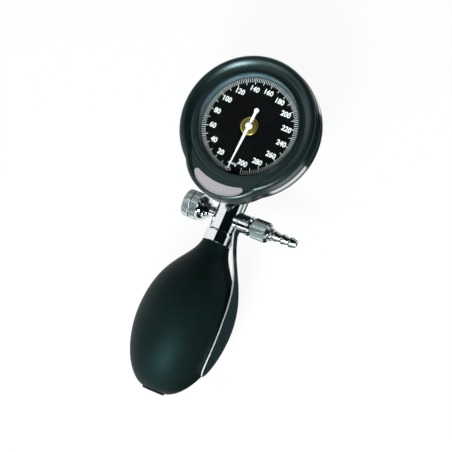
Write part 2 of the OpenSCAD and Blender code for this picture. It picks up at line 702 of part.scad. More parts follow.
module valve_body() color([0.82, 0.84, 0.85]) placed() difference() {
    union() {
        translate([0, body_bottom, 0]) rotate([-90, 0, 0]) rotate_extrude() polygon([[0, 0],
            [body_r - 0.4, 0], [body_r, 0.4], [body_r, body_top - body_bottom - 1],
            [body_r - 1, body_top - body_bottom], [0, body_top - body_bottom]]);
        // Pad that the spoon's eyelet and the hose port seat on
        translate([0, port_y, 0]) rotate([0, 90, 0]) cylinder(r = port_r, h = eyelet_x);
    }
    // Bores from the bulb's stem up to the gauge's stem
    translate([0, body_bottom - eps, 0]) rotate([-90, 0, 0])
        cylinder(r = stem_thread_r + seated, h = outlet_room - body_bottom);
    translate([0, body_bottom, 0]) rotate([-90, 0, 0]) cylinder(r = bore_r, h = 40);
    translate([0, top_bore_y, 0]) rotate([-90, 0, 0]) cylinder(r = top_bore_r, h = 40);
    // Hose side
    translate([0, port_y, 0]) rotate([0, 90, 0]) {
        cylinder(r = way_r, h = 20);
        translate([0, 0, side_bore_x]) cylinder(r = side_bore_r, h = 20);
    }
    // Release side
    translate([0, port_y, 0]) rotate([0, -90, 0]) {
        cylinder(r = 0.9, h = 20);
        translate([0, 0, seat_end]) cylinder(r = bonnet_thread_r + seated, h = 20);
    }
}

module hose_port() color([0.8, 0.82, 0.83]) out_x(side_bore_x + seal_t) difference() {
    far = port_end - side_bore_x - seal_t;
    near = port_x - side_bore_x - seal_t;
    rotate_extrude() polygon([[way_r, 0], [side_bore_r - seated, 0], [side_bore_r - seated, near],
        [port_r, near], [port_r, far - 2.4], [port_r - 0.4, far - 2.1], [port_r - 0.4, far - 1.7],
        [port_r, far - 1.4], [port_r - 1.2, far], [stub_r, far], [stub_r, far + port_stub],
        [way_r, far + port_stub]]);
    // Tapered socket for the barb's nose
    translate([0, 0, far + port_stub - 5.4]) cylinder(r = luer_r + 0.25, h = 6);
}

module port_seal() color([0.08, 0.08, 0.08]) out_x(side_bore_x)
    tube(side_bore_r - seated, way_r, seal_t);

module hose_barb() color([0.72, 0.74, 0.75]) out_x(flange_x - 4.6) difference() {
    o = flange_x - 4.6;
    rotate_extrude() polygon(concat([[barb_bore_r, 0], [luer_r - 0.1, 0], [luer_r + 0.1, 4.6],
        [stub_r, 4.6], [stub_r, 4.6 + flange_t], [shank_r, 4.6 + flange_t],
        [shank_r, barb_start - 1.2 - o], [3.5, barb_start - 1.2 - o], [3.5, barb_start - o],
        [barb_root_r, barb_start - o]],
        [for (i = [0:barb_count - 1]) each let (b = barb_start - o + barb_pitch * i + 0.8)
            [[barb_root_r, b], [barb_r, b], [barb_r, b + crest_len],
            [barb_root_r, b + barb_pitch - 0.8]]],
        [[barb_bore_r, barb_end - o]]));
}

module lock_nut() color([0.72, 0.74, 0.75]) out_x(nut_x) difference() {
    union() {
        linear_extrude(nut_len - 1.4) knurl_outline(nut_r, nut_knurls);
        translate([0, 0, nut_len - 1.4]) rotate_extrude() polygon([[0, 0], [nut_r - 0.3, 0],
            [nut_r - 1.5, 1.4], [0, 1.4]]);
    }
    translate([0, 0, -eps]) cylinder(r = nut_cavity_r, h = nut_web_x - nut_x);
    cylinder(r = shank_r + running, h = nut_len + 1);
}

module release_seat() color([0.75, 0.6, 0.3]) out_left(seat_end) difference() {
    cylinder(r = bonnet_thread_r, h = bonnet_inner - seat_end - 0.1);
    translate([0, 0, -eps]) cylinder(r = 0.9, h = 3, $fn = 48);
}

module release_bonnet() color([0.8, 0.82, 0.83]) out_left(bonnet_inner) difference() {
    far = bonnet_end - bonnet_inner;
    union() {
        cylinder(r = bonnet_thread_r, h = far);
        translate([0, 0, body_r + 0.1 - bonnet_inner])
            cylinder(r = bonnet_r, h = bonnet_end - body_r - 0.1);
    }
    translate([0, 0, -eps]) cylinder(r = needle_r + running, h = far + 1);
    // Room for the needle's collar, which stops it from being screwed right out
    translate([0, 0, -eps]) cylinder(r = needle_collar_r + running,
        h = 0.1 + needle_collar_t + release_travel + eps);
    translate([0, 0, far - packing_depth]) cylinder(r = needle_r + 0.9, h = packing_depth + 1);
}

module release_packing() color([0.08, 0.08, 0.08]) out_left(bonnet_end - packing_depth)
    tube(needle_r + 0.85, needle_r + running, packing_depth - 0.1);

module release_needle() color([0.75, 0.6, 0.3]) out_left(needle_tip) rotate_extrude()
    polygon([[0, 0], [0.5, 0], [0.8, 1.2], [needle_collar_r, 1.25],
        [needle_collar_r, 1.25 + needle_collar_t], [needle_r, 1.25 + needle_collar_t],
        [needle_r, knob_far - 3 - needle_tip], [0, knob_far - 3 - needle_tip]]);

module release_knob() color([0.7, 0.72, 0.73]) out_left(knob_near) difference() {
    groove = 0.5;
    half = (knob_grip - groove) / 2;
    union() {
        // Domed shoulder
        rotate_extrude() polygon(concat([[0, 0], [knob_r - 3.6, 0]],
            arc(knob_dome, -60, 0, 8, [knob_r - knob_dome - 0.25, knob_dome]), [[0, knob_dome]]));
        translate([0, 0, knob_dome]) {
            translate([0, 0, -1]) cylinder(r = knob_r - 0.7, h = knob_grip + 0.9);
            linear_extrude(half) knurl_outline(knob_r, knob_knurls);
            translate([0, 0, half + groove]) intersection() {
                linear_extrude(half) knurl_outline(knob_r, knob_knurls);
                rotate_extrude() polygon(concat([[0, 0], [knob_r + 1, 0], [knob_r + 1, half - 3]],
                    arc(2, 20, 90, 6, [knob_r - 1.9, half - 2]), [[0, half]]));
            }
        }
    }
    translate([0, 0, -eps]) cylinder(r = needle_r + running, h = knob_far - 2.9 - knob_near);
}

module bulb_stem() color([0.75, 0.6, 0.3]) up_y(-neck_plug_len) difference() {
    flange_y = neck_plug_len + collar_h - collar_web - stem_flange_t;
    top = neck_plug_len + outlet_seat_y;
    r = neck_bore_r - seated;
    rotate_extrude() polygon([[bore_r, 0], [r - 0.8, 0], [r, 2.4], [r - 0.5, 2.4],
        [r - 0.5, 3.2], [r, 5.6], [r, flange_y], [collar_r - 1.6, flange_y],
        [collar_r - 1.6, flange_y + stem_flange_t], [stem_thread_r, flange_y + stem_flange_t],
        [stem_thread_r, top - 0.6], [bore_r + 0.7, top], [bore_r, top]]);
}

module outlet_valve() color([0.1, 0.1, 0.1]) up_y(outlet_seat_y + 0.02)
    cylinder(r = stem_thread_r - 0.75, h = outlet_disc_t);

outlet_spring_h = outlet_room - outlet_seat_y - outlet_disc_t - 0.06;

// Conical spring, as a closed cone of the spring's outer shape
module outlet_spring() color([0.7, 0.72, 0.75]) up_y(outlet_seat_y + outlet_disc_t + 0.04)
    rotate_extrude() polygon([[1.9, 0], [2.3, 0], [3.5, outlet_spring_h], [3.1, outlet_spring_h]]);

module collar_washer() color([0.12, 0.12, 0.12]) up_y(collar_h)
    tube(body_r - 0.7, stem_thread_r + soft_gap, washer_t);

module collar() color([0.82, 0.84, 0.85]) up_y() difference() {
    rotate_extrude() polygon([[0, 0], [collar_r - 0.25, 0], [collar_r, 0.25],
        [collar_r, collar_h - 0.4], [collar_r - 0.4, collar_h], [0, collar_h]]);
    translate([0, 0, -eps]) cylinder(r = collar_r - collar_wall, h = collar_h - collar_web + eps);
    cylinder(r = stem_thread_r + seated, h = collar_h + 1);
}

// Outline of the bulb, from the collar to its widest point and on to its end
bulb_upper = [[bulb_neck_r, 0], [bulb_neck_r + 1.4, -0.148 * bulb_len], [bulb_r, -0.2 * bulb_len],
    [bulb_r, -bulb_belly]];
bulb_lower = [[bulb_r, -bulb_belly], [bulb_r, -0.74 * bulb_len],
    [0.72 * bulb_r, -bulb_len + 4], [bulb_close_r, -bulb_len]];
bulb_steps = 14;

// Radius of the bulb's lower half at a distance below the collar
function bulb_radius(d) = lookup(d, [for (p = bezier(bulb_lower, 40)) [-p[1], p[0]]]);

// Spoon: sheet metal swept down its centre line, with a leaf-shaped bowl
spoon_start = [eyelet_x + spoon_t / 2, 8.6];
spoon_end_r = bulb_radius(bulb_len - spoon_short);
spoon_line = [spoon_start, [bulb_r - 12, -0.155 * bulb_len],
    [2.5762 * bulb_r - 1.4 * spoon_end_r, -0.3 * bulb_len],
    [spoon_end_r + spoon_gap + spoon_t / 2 + 0.4, spoon_short - bulb_len]];
spoon_rows = 32;
spoon_cols = 8;
bowl_starts = 0.3;
tip_starts = 0.74;
bowl_across = 26;
handle_across = 86;

function spoon_half(t) = let (bowl = smooth((t - bowl_starts) / (tip_starts - bowl_starts)),
        w = handle_half + (bowl_half - handle_half) * bowl, tip = (t - tip_starts) / (1 - tip_starts))
    t < tip_starts ? w : w * sqrt(max(0.02, 1 - tip * tip));

function spoon_point(t, s, side) = let (
        mid = bezier_at(spoon_line, t),
        ahead = bezier_at(spoon_line, t + 0.001) - bezier_at(spoon_line, t - 0.001),
        out = [-ahead[1], ahead[0]] / norm(ahead),
        z = s * spoon_half(t),
        across = handle_across + (bowl_across - handle_across) * smooth((t - 0.1) / 0.4),
        sag = across - sqrt(across * across - z * z))
    [mid[0] + out[0] * side * spoon_t / 2 - sag, mid[1] + out[1] * side * spoon_t / 2, z];

// Rows lie closer together towards the tip, where the bowl rounds off
function spoon_row(i) = sin(90 * i / spoon_rows) * 0.35 + 0.65 * i / spoon_rows;

module spoon_blade() {
    loop = 2 * (spoon_cols + 1);
    last = spoon_rows * loop;
    points = [for (i = [0:spoon_rows], k = [0:loop - 1]) k <= spoon_cols
        ? spoon_point(spoon_row(i), 2 * k / spoon_cols - 1, 1)
        : spoon_point(spoon_row(i), 2 * (loop - 1 - k) / spoon_cols - 1, -1)];
    polyhedron(points, concat(
        [for (i = [0:spoon_rows - 1], k = [0:loop - 1]) let (a = i * loop + k,
            b = i * loop + (k + 1) % loop) each [[a, b + loop, b], [a, a + loop, b + loop]]],
        [for (k = [1:spoon_cols]) each [[k - 1, k, loop - k], [k, loop - 1 - k, loop - k]]],
        [for (k = [1:spoon_cols]) each [[last + k - 1, last + loop - k, last + k],
            [last + k, last + loop - k, last + loop - 1 - k]]]));
}

module spoon() color([0.8, 0.82, 0.83]) placed() {
    spoon_blade();
    // Eyelet clamped under the hose port, and the tongue that joins it to the blade
    translate([eyelet_x, port_y, 0]) rotate([0, 90, 0]) difference() {
        tongue = port_y - spoon_start[1] + 0.1;
        union() {
            cylinder(r = port_r, h = spoon_t);
            translate([-handle_half, -tongue, 0]) cube([2 * handle_half, tongue, spoon_t]);
        }
        translate([0, 0, -eps]) cylinder(r = side_bore_r + 0.1, h = spoon_t + 2 * eps);
    }
}

// Points of a profile moved inwards by the wall, along the profile's own normal
function inside(p, n, from, to) = [for (i = [to:-1:from]) let (
        t = i / n, ahead = bezier_at(p, min(1, t + 0.01)) - bezier_at(p, max(0, t - 0.01)))
    bezier_at(p, t) - bulb_wall * [-ahead[1], ahead[0]] / norm(ahead)];

// Bulb: hollow rubber shell with a neck inside the collar and a lip at the far end
module bulb() color([0.07, 0.09, 0.09]) up_y() rotate_extrude() polygon(concat(
    [[neck_bore_r, neck_top], [collar_r - collar_wall - 0.1, neck_top],
        [collar_r - collar_wall - 0.1, 0]],
    bezier(bulb_upper, bulb_steps), bezier(bulb_lower, bulb_steps, 1),
    [[lip_r, -bulb_len], [lip_r, -bulb_len - lip_h + 0.4], [lip_r - 0.4, -bulb_len - lip_h],
        [neck_bore_r + 0.6, -bulb_len - lip_h], [neck_bore_r + 0.6, -bulb_len + intake_len - 2]],
    inside(bulb_lower, bulb_steps, 0, bulb_steps - 3),
    inside(bulb_upper, bulb_steps, 5, bulb_steps - 1),
    [[neck_bore_r, -neck_plug_len - 2]]));

module intake_housing() color([0.7, 0.72, 0.74]) up_y(-bulb_len - lip_h + 0.4) difference() {
    rotate_extrude() polygon([[0, 0], [neck_bore_r + 0.55, 0], [neck_bore_r + 0.55, intake_len],
        [0, intake_len]]);
    translate([0, 0, 2.4]) cylinder(r = neck_bore_r - 0.5, h = intake_len);
    translate([0, 0, -eps]) cylinder(r = 2, h = 4);
    translate([0, 0, -eps]) cylinder(r = neck_bore_r - 0.7, h = 1);
}

module intake_screen() color([0.6, 0.62, 0.64]) up_y(-bulb_len - lip_h + 0.45) difference() {
    cylinder(r = neck_bore_r - 0.75, h = 0.5);
    for (x = [-2:2], z = [-2:2]) if (x * x + z * z < 7) translate([x * 1.1 - 0.3, z * 1.1 - 0.3,
        -eps]) cube([0.6, 0.6, 1]);
}

module intake_valve() color([0.1, 0.1, 0.1]) up_y(-bulb_len - lip_h + 2.82)
    cylinder(r = neck_bore_r - 0.9, h = 0.8);

module intake_cage() color([0.7, 0.72, 0.74])
    up_y(-bulb_len - lip_h + 3.62 + intake_lift + 0.1) difference() {
        cylinder(r = neck_bore_r - 0.55, h = 1);
        for (a = [0:60:300]) rotate(a) translate([2.2, 0, -eps]) cylinder(r = 0.8, h = 2, $fn = 24);
    }

front_housing();
lens_gasket();
lens();
dial_ring();
badge_plate();
trim_band();
rear_housing();
housing_screws();
base_screws();
dial_plate();
dial_bush();
pointer();
pointer_arbor();
hairspring();
hairspring_stud();
sector_gear();
sector_arbor();
top_plate();
bottom_plate();
plate_pillars();
base_pillars();
base_plate();
rocking_shaft();
rocker_brackets();
capsule();
capsule_button();
inlet_block();
inlet_stem();
stem_nut();
stem_seal();
inlet_filter();
valve_body();
hose_port();
port_seal();
hose_barb();
lock_nut();
release_seat();
release_bonnet();
release_packing();
release_needle();
release_knob();
bulb_stem();
outlet_valve();
outlet_spring();
collar_washer();
collar();
spoon();
bulb();
intake_housing();
intake_valve();
intake_cage();
intake_screen();
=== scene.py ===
# %% [markdown]
# # A hand-held aneroid blood pressure gauge
# The gauge is a dial head on a short chromed valve body, with a rubber bulb below it and a
# sprung metal spoon that rests in the palm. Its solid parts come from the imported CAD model.
# This lesson dresses them. Each part gets its finish, and the parts that the eye follows
# closely, such as the bulb, the spoon and the knurled metal, are remodelled in more detail.

# %% Load the model
import json
import math

import bmesh
import bpy
from mathutils import Matrix, Vector
from mathutils.geometry import interpolate_bezier


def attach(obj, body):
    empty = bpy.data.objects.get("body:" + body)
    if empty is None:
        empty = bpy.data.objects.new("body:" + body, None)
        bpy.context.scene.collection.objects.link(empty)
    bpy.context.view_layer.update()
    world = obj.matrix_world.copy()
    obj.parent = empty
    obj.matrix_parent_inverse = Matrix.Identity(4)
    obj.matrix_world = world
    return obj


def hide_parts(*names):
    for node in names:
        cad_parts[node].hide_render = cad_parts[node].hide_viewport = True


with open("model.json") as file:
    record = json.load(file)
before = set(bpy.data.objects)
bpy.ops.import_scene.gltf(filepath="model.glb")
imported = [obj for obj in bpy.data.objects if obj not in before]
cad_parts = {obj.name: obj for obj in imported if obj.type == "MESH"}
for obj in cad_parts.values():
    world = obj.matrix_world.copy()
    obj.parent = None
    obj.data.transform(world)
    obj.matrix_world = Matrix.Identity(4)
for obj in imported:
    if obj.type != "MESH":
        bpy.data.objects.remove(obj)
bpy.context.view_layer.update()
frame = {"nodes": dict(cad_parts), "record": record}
nodes = frame["nodes"]

# %% [markdown]
# ## Where things are
# The valve body is a turned part, so its axis is the natural place to measure from. Y runs
# up the body to the head and Z comes out of the dial. The head sits on its stem four
# degrees clockwise, so everything printed on the dial has a frame of its own.

# %% Places and sizes
MM = 0.001
DIAL_Z = 49.3  # height of the dial's face
BODY = Matrix.Translation(Vector((-2.05, -7.025, 25.3)) * MM)  # collar's lower edge
DIAL = Matrix.Translation(Vector((-2.05, 55.975, DIAL_Z)) * MM)  # centre of the dial's face
HEAD = DIAL @ Matrix.Rotation(math.radians(-4), 4, "Z")
PORT = BODY @ Matrix.Translation((0, 15.5 * MM, 0))  # where the side fittings cross
UP_Y = Matrix.Rotation(math.radians(-90), 4, "X")  # turns a lathe's Z axis to +Y
OUT_X = Matrix.Rotation(math.radians(90), 4, "Y")  # and to +X
OUT_LEFT = Matrix.Rotation(math.radians(-90), 4, "Y")  # and to -X
print("dial centre in mm:", [round(c / MM, 2) for c in DIAL.translation])

# %% [markdown]
# ## Camera
# The picture is taken from the front and a little to the right, with a long lens at about
# eighty centimetres, which keeps the dial nearly round. The picture is square, so the
# sensor width of 36 mm holds both ways.

# %% Camera
camera = bpy.data.objects.new("camera", bpy.data.cameras.new("camera"))
camera.location = (0.28078, -0.06453, 0.78051)
camera.rotation_euler = [math.radians(angle) for angle in (12.7316, 16.8428, 24.317)]
camera.data.sensor_width = 36
camera.data.lens = 117.96
camera.data.clip_start = 0.01
bpy.context.scene.collection.objects.link(camera)
bpy.context.scene.camera = camera
bpy.context.scene.view_settings.view_transform = "Standard"
print("camera distance in mm:", round((camera.location - DIAL.translation).length / MM))

# %% [markdown]
# ## Nodes in a few words
# A material is a small graph of nodes. One helper adds a node, sets its fields and either
# links its inputs or gives them values, so that each material below reads as a recipe. A
# second one turns the hex colours that designers write into Blender's linear values.

# %% Helpers for materials
def linear(code, alpha=1.0):
    """An sRGB hex colour as linear RGBA."""
    parts = [int(code[i : i + 2], 16) / 255 for i in (1, 3, 5)]
    return (*(p / 12.92 if p < 0.04045 else ((p + 0.055) / 1.055) ** 2.4 for p in parts), alpha)


def add(tree, kind, inputs=None, **settings):
    """Adds a node. Inputs are values, or sockets to link from."""
    node = tree.nodes.new(kind)
    for name, value in settings.items():
        setattr(node, name, value)
    for name, value in (inputs or {}).items():
        if isinstance(value, bpy.types.NodeSocket):
            tree.links.new(value, node.inputs[name])
        else:
            node.inputs[name].default_value = value
    return node


def new_material(name):
    """An empty material with its output, and the object's coordinates in metres."""
    material = bpy.data.materials.new(name)
    material.use_nodes = True
    tree = material.node_tree
    tree.nodes.clear()
    where = add(tree, "ShaderNodeTexCoord").outputs["Object"]
    return material, tree, where


def finish_material(tree, shader):
    add(tree, "ShaderNodeOutputMaterial", {"Surface": shader.outputs[0]})

# %% [markdown]
# ## Studio
# Polished metal has no look of its own and shows the room. So the room is drawn for it: a
# white floor and a white horizon, a dark ceiling, and one long white card over the left
# side. The card gives the chrome its broad white stripe, and the dark ceiling beside it the
# black one. The window and the flat face look just past the card into the dark ceiling,
# which keeps the dial black. Card and ceiling show in reflections only.

# %% Floor, horizon, ceiling and card
def white_where_seen(tree, strength):
    """Emission of 1 for the camera and for reflections, and a strength for all else."""
    path = add(tree, "ShaderNodeLightPath").outputs
    seen = path["Is Camera Ray"]
    for ray in ("Is Glossy Ray", "Is Transmission Ray"):
        seen = add(tree, "ShaderNodeMath", {0: seen, 1: path[ray]}, operation="MAXIMUM").outputs[0]
    return add(tree, "ShaderNodeMapRange", {"Value": seen, "To Min": strength}).outputs[0], seen


HORIZON_LIGHT = 0.35  # what the horizon gives off, against 1 where it is seen
PAPER_GLOW = 0.93  # how much of the floor's white is its own, where it is seen

world = bpy.data.worlds.new("white horizon")
world.use_nodes = True
world.node_tree.nodes.clear()
strength, _ = white_where_seen(world.node_tree, HORIZON_LIGHT)
sky = add(world.node_tree, "ShaderNodeBackground", {"Color": (1, 1, 1, 1), "Strength": strength})
add(world.node_tree, "ShaderNodeOutputWorld", {"Surface": sky.outputs[0]})
bpy.context.scene.world = world


def stage_piece(name, bm, material, reflections_only=False):
    """An object of the studio, which isn't part of the gauge."""
    mesh = bpy.data.meshes.new(name)
    bm.to_mesh(mesh)
    bm.free()
    mesh.materials.append(material)
    piece = bpy.data.objects.new(name, mesh)
    bpy.context.scene.collection.objects.link(piece)
    if reflections_only:
        piece.visible_camera = piece.visible_diffuse = piece.visible_shadow = False
        piece.visible_volume_scatter = False


paper, tree, _ = new_material("white paper")
_, seen = white_where_seen(tree, 0.0)
matte = add(tree, "ShaderNodeBsdfDiffuse", {"Color": linear("#f0f0f0")})
glow = add(tree, "ShaderNodeEmission", {"Color": (1, 1, 1, 1)})
share = add(tree, "ShaderNodeMath", {0: seen, 1: PAPER_GLOW}, operation="MULTIPLY")
paper_mix = add(tree, "ShaderNodeMixShader", {0: share.outputs[0]})
tree.links.new(matte.outputs[0], paper_mix.inputs[1])
tree.links.new(glow.outputs[0], paper_mix.inputs[2])
finish_material(tree, paper_mix)
floor = bmesh.new()
bmesh.ops.create_grid(floor, size=4, matrix=Matrix.Translation((0, 0, -0.0004)))
stage_piece("floor", floor, paper)


def card_material(name, colour, power):
    material, tree, _ = new_material(name)
    finish_material(tree, add(tree, "ShaderNodeEmission", {"Color": colour, "Strength": power}))
    return material


def arch(radius, start, stop, low, high):
    """Part of a drum round the Y axis: start and stop are degrees from +Z towards +X."""
    bm = bmesh.new()
    line = [bm.verts.new((0, y, radius)) for y in (low, high)]
    edge = bm.edges.new(line)
    turn = Matrix.Rotation(math.radians(start), 4, "Y")
    bmesh.ops.transform(bm, matrix=turn, verts=line)
    span = math.radians(stop - start)
    bmesh.ops.spin(bm, geom=line + [edge], axis=(0, 1, 0), angle=span, steps=24)
    return bm


dark = card_material("black velvet", linear("#0a1314"), 1)
ceiling = bmesh.new()
bmesh.ops.create_uvsphere(ceiling, u_segments=48, v_segments=24, radius=2)
cut = ceiling.verts[:] + ceiling.edges[:] + ceiling.faces[:]
bmesh.ops.bisect_plane(
    ceiling, geom=cut, plane_co=(0, 0, 0.5), plane_no=(0, 0, 1), clear_inner=True
)
stage_piece("ceiling", ceiling, dark, reflections_only=True)
white = card_material("white card", (1, 1, 1, 1), 1.1)
stage_piece("card", arch(1.2, -84, -12, -0.36, 0.162), white, reflections_only=True)

# Grey cards just above the floor on the right give the metal something darker than paper to
# reflect. Each has a colour, then its edges in x and in y, in metres.
for name, colour, (x0, x1, y0, y1) in (
    ("spoon_card", "#2b3b3c", (0.012, 0.3, -0.16, -0.004)),
    ("body_card", "#1c2828", (0.008, 0.026, -0.004, 0.03)),
    ("port_card", "#71878a", (0.06, 0.6, -0.004, 0.045)),
    ("head_card", "#2b3b3c", (0.03, 0.3, 0.045, 0.3)),
):
    card = bmesh.new()
    size = Matrix.Diagonal(((x1 - x0) / 2, (y1 - y0) / 2, 1, 1))
    middle = Matrix.Translation(((x0 + x1) / 2, (y0 + y1) / 2, 0.0005))
    bmesh.ops.create_grid(card, size=1, matrix=middle @ size)
    stage_piece(name, card, card_material(name, linear(colour), 1), reflections_only=True)

# %% Lamps
def soft_box(name, place, size, power):
    lamp = bpy.data.lights.new(name, "AREA")
    lamp.shape, lamp.size, lamp.size_y, lamp.energy = "RECTANGLE", *size, power
    lamp.color = linear("#f0fafb")[:3]
    box = bpy.data.objects.new(name, lamp)
    look = (Vector((0, 0, 0.03)) - Vector(place)).to_track_quat("-Z", "Y")
    box.matrix_world = Matrix.Translation(place) @ look.to_matrix().to_4x4()
    bpy.context.scene.collection.objects.link(box)


soft_box("key", (-0.5, 0.6, 0.75), (0.5, 0.3), 0.5)
soft_box("fill", (0.16, -0.6, 0.66), (0.26, 0.22), 10.0)
soft_box("low", (-0.4, -0.85, 0.5), (0.5, 0.3), 1.6)

# %% [markdown]
# ## Paint and plastic
# The housing is cast aluminium under a satin enamel, black with some green in it. Its fine
# grain scatters the light into a soft, speckled highlight, so a fine noise goes to both the
# roughness and the bump. The other painted parts differ in colour, gloss and grain only,
# and one recipe makes them all. Grain sizes are in millimetres.

# %% Painted and moulded finishes
def grain(tree, where, size, stretch=(1, 1, 1)):
    """Noise whose blotches are about size millimetres across."""
    scaled = add(tree, "ShaderNodeMapping", {"Vector": where, "Scale": stretch}).outputs[0]
    noise = add(tree, "ShaderNodeTexNoise", {"Vector": scaled, "Scale": 1 / (size * MM)})
    noise.inputs["Detail"].default_value = 2.0
    return noise.outputs["Fac"]


def between(tree, value, low, high):
    """A value from 0 to 1, spread from low to high."""
    spread = {"Value": value, "To Min": low, "To Max": high}
    return add(tree, "ShaderNodeMapRange", spread).outputs[0]


def blend_colours(tree, value, first, second):
    ramp = add(tree, "ShaderNodeValToRGB", {"Fac": value})
    ramp.color_ramp.elements[0].color, ramp.color_ramp.elements[1].color = first, second
    ramp.color_ramp.elements[0].position, ramp.color_ramp.elements[1].position = 0.3, 0.7
    return ramp.outputs["Color"]


def painted(name, colours, gloss, texture, height, **sockets):
    """Two colours that vary softly, a roughness range, and a grain of a size and height."""
    material, tree, where = new_material(name)
    fine = grain(tree, where, texture)
    soft = grain(tree, where, 14)
    colour = blend_colours(tree, soft, *(linear(c) for c in colours))
    bump = add(tree, "ShaderNodeBump", {"Height": fine, "Distance": height * MM})
    rough = between(tree, fine, *gloss)
    inputs = {"Base Color": colour, "Roughness": rough, "Normal": bump.outputs[0], **sockets}
    finish_material(tree, add(tree, "ShaderNodeBsdfPrincipled", inputs))
    return material


shine = "Specular IOR Level"
tint = "Specular Tint"
cool = {shine: 0.8, tint: linear("#cfe8ee")}
enamel = painted("satin enamel", ("#061412", "#0a1c1a"), (0.25, 0.36), 0.5, 0.05, **cool)
ink = ("#020203", "#040405")
dial_black = painted("matte dial black", ink, (0.6, 0.75), 0.4, 0.01, **{shine: 0.06})
wall_paint = painted("blue-grey paint", ("#34454c", "#44575e"), (0.4, 0.5), 0.6, 0.01)
white_paint = painted("white lacquer", ("#ececea", "#f7f7f5"), (0.35, 0.45), 0.5, 0.005)
seal_rubber = painted("black nitrile rubber", ("#0b0c0c", "#141616"), (0.6, 0.75), 0.4, 0.02)
sinter = ("#7a5c33", "#a07a45")
filter_bronze = painted("sintered bronze", sinter, (0.5, 0.7), 0.25, 0.08, Metallic=0.9)
# Moulded rubber: the dull skin holds a faint blue-green light, most where it faces a lamp
skin, faint = ("#07110f", "#0a1614"), {shine: 0.2, tint: linear("#9fdfe6")}
bulb_rubber = painted("moulded black rubber", skin, (0.5, 0.62), 0.7, 0.035, **faint)
print("paints:", [m.name for m in (enamel, dial_black, wall_paint, white_paint, bulb_rubber)])

# %% [markdown]
# ## Metals
# Every metal here is a colour, a roughness and a direction in which it was worked. Plated
# chrome is nearly a mirror with faint smudges. Turned and brushed parts carry fine lines,
# which a noise stretched along one axis draws.

# %% Metal finishes
def metal(name, colour, gloss, texture=0.6, stretch=(1, 1, 1), height=0.004, smudge=9):
    material, tree, where = new_material(name)
    lines = grain(tree, where, texture, stretch=stretch)
    hand = grain(tree, where, smudge)
    marks = add(tree, "ShaderNodeMath", {0: lines, 1: hand}, operation="MULTIPLY").outputs[0]
    bump = add(tree, "ShaderNodeBump", {"Height": lines, "Distance": height * MM})
    inputs = {
        "Base Color": linear(colour),
        "Metallic": 1.0,
        "Roughness": between(tree, marks, *gloss),
        "Normal": bump.outputs[0],
    }
    finish_material(tree, add(tree, "ShaderNodeBsdfPrincipled", inputs))
    return material


chrome = metal("plated chrome", "#dfe2e3", (0.03, 0.12), height=0.001)
satin_chrome = metal("satin chrome", "#bcc4c4", (0.16, 0.34), 0.4, (0.08, 1, 1), 0.006)
cut_edge = metal("cut sheet edge", "#fbfcfc", (0.62, 0.72), 0.3, (1, 1, 0.1), 0.003)
polished_band = metal("polished aluminium", "#cdd2d4", (0.1, 0.28), 0.5, (1, 1, 8), 0.003)
bare_aluminium = metal("brushed aluminium", "#f4f0f3", (0.34, 0.5), 0.35, (0.05, 1, 1), 0.006)
knurled = metal("knurled satin chrome", "#aab5b5", (0.3, 0.44), 0.4, (0.08, 1, 1), 0.006)
brass = metal("turned brass", "#dcc060", (0.24, 0.4))
bronze = metal("beryllium bronze", "#b98a4b", (0.25, 0.4))
steel = metal("drawn steel", "#a9acb0", (0.2, 0.38), 0.4, (1, 1, 0.1))
spring_wire = metal("spring wire", "#9ea3a8", (0.15, 0.3))

# %% [markdown]
# ## Window
# The window is clear acrylic. Glass in Cycles casts a full shadow, which would darken the
# dial, so lamp rays pass it as if it were open. A faint tint is all that shows.

# %% Acrylic window
acrylic, tree, where = new_material("clear acrylic")
glass = add(tree, "ShaderNodeBsdfPrincipled", {"Base Color": linear("#f4fafa"), "IOR": 1.49})
glass.inputs["Transmission Weight"].default_value = 1.0
tree.links.new(between(tree, grain(tree, where, 12), 0.0, 0.03), glass.inputs["Roughness"])
open_air = add(tree, "ShaderNodeBsdfTransparent")
lamp_ray = add(tree, "ShaderNodeLightPath").outputs["Is Shadow Ray"]
window_mix = add(tree, "ShaderNodeMixShader", {0: lamp_ray})
tree.links.new(glass.outputs[0], window_mix.inputs[1])
tree.links.new(open_air.outputs[0], window_mix.inputs[2])
finish_material(tree, window_mix)

# %% Give every CAD part its finish
finishes = {
    "housing": enamel,
    "trim": polished_band,
    "plain_metal": bare_aluminium,
    "lens": acrylic,
    "seal": seal_rubber,
    "window_wall": wall_paint,
    "screw": steel,
    "dial": dial_black,
    "pointer": white_paint,
    "brass": brass,
    "bronze": bronze,
    "steel": steel,
    "spring": spring_wire,
    "chrome": chrome,
    "satin_chrome": satin_chrome,
    "filter": filter_bronze,
    "bulb": bulb_rubber,
}
for part in frame["record"]["subparts"]:
    for material_slot in nodes[part["node"]].material_slots:
        material_slot.material = finishes[part["material_slot"]]
print("finishes:", len(finishes), "on", len(nodes), "parts")

# %% [markdown]
# ## Making a piece
# Most parts of the gauge were turned on a lathe, and a spin does the same: a profile of
# radius and height is swept round the Z axis. Pieces are drawn in millimetres at the
# origin, then scaled to metres and moved to their place inside the mesh, so that the object
# itself stays unmoved. Edges sharper than 35 degrees stay crisp and the rest is smooth.

# %% Helpers for pieces
def lathe(bm, points, steps=96, closed=False):
    """Spins a profile of (radius, height) points round the Z axis."""
    ring = [bm.verts.new((radius, 0, height)) for radius, height in points]
    pairs = zip(ring, ring[1:] + ring[:1]) if closed else zip(ring, ring[1:])
    line = [bm.edges.new(pair) for pair in pairs]
    bmesh.ops.spin(
        bm, geom=ring + line, axis=(0, 0, 1), angle=math.tau, steps=steps, use_merge=True
    )
    bmesh.ops.remove_doubles(bm, verts=bm.verts, dist=1e-4)
    bmesh.ops.recalc_face_normals(bm, faces=bm.faces)


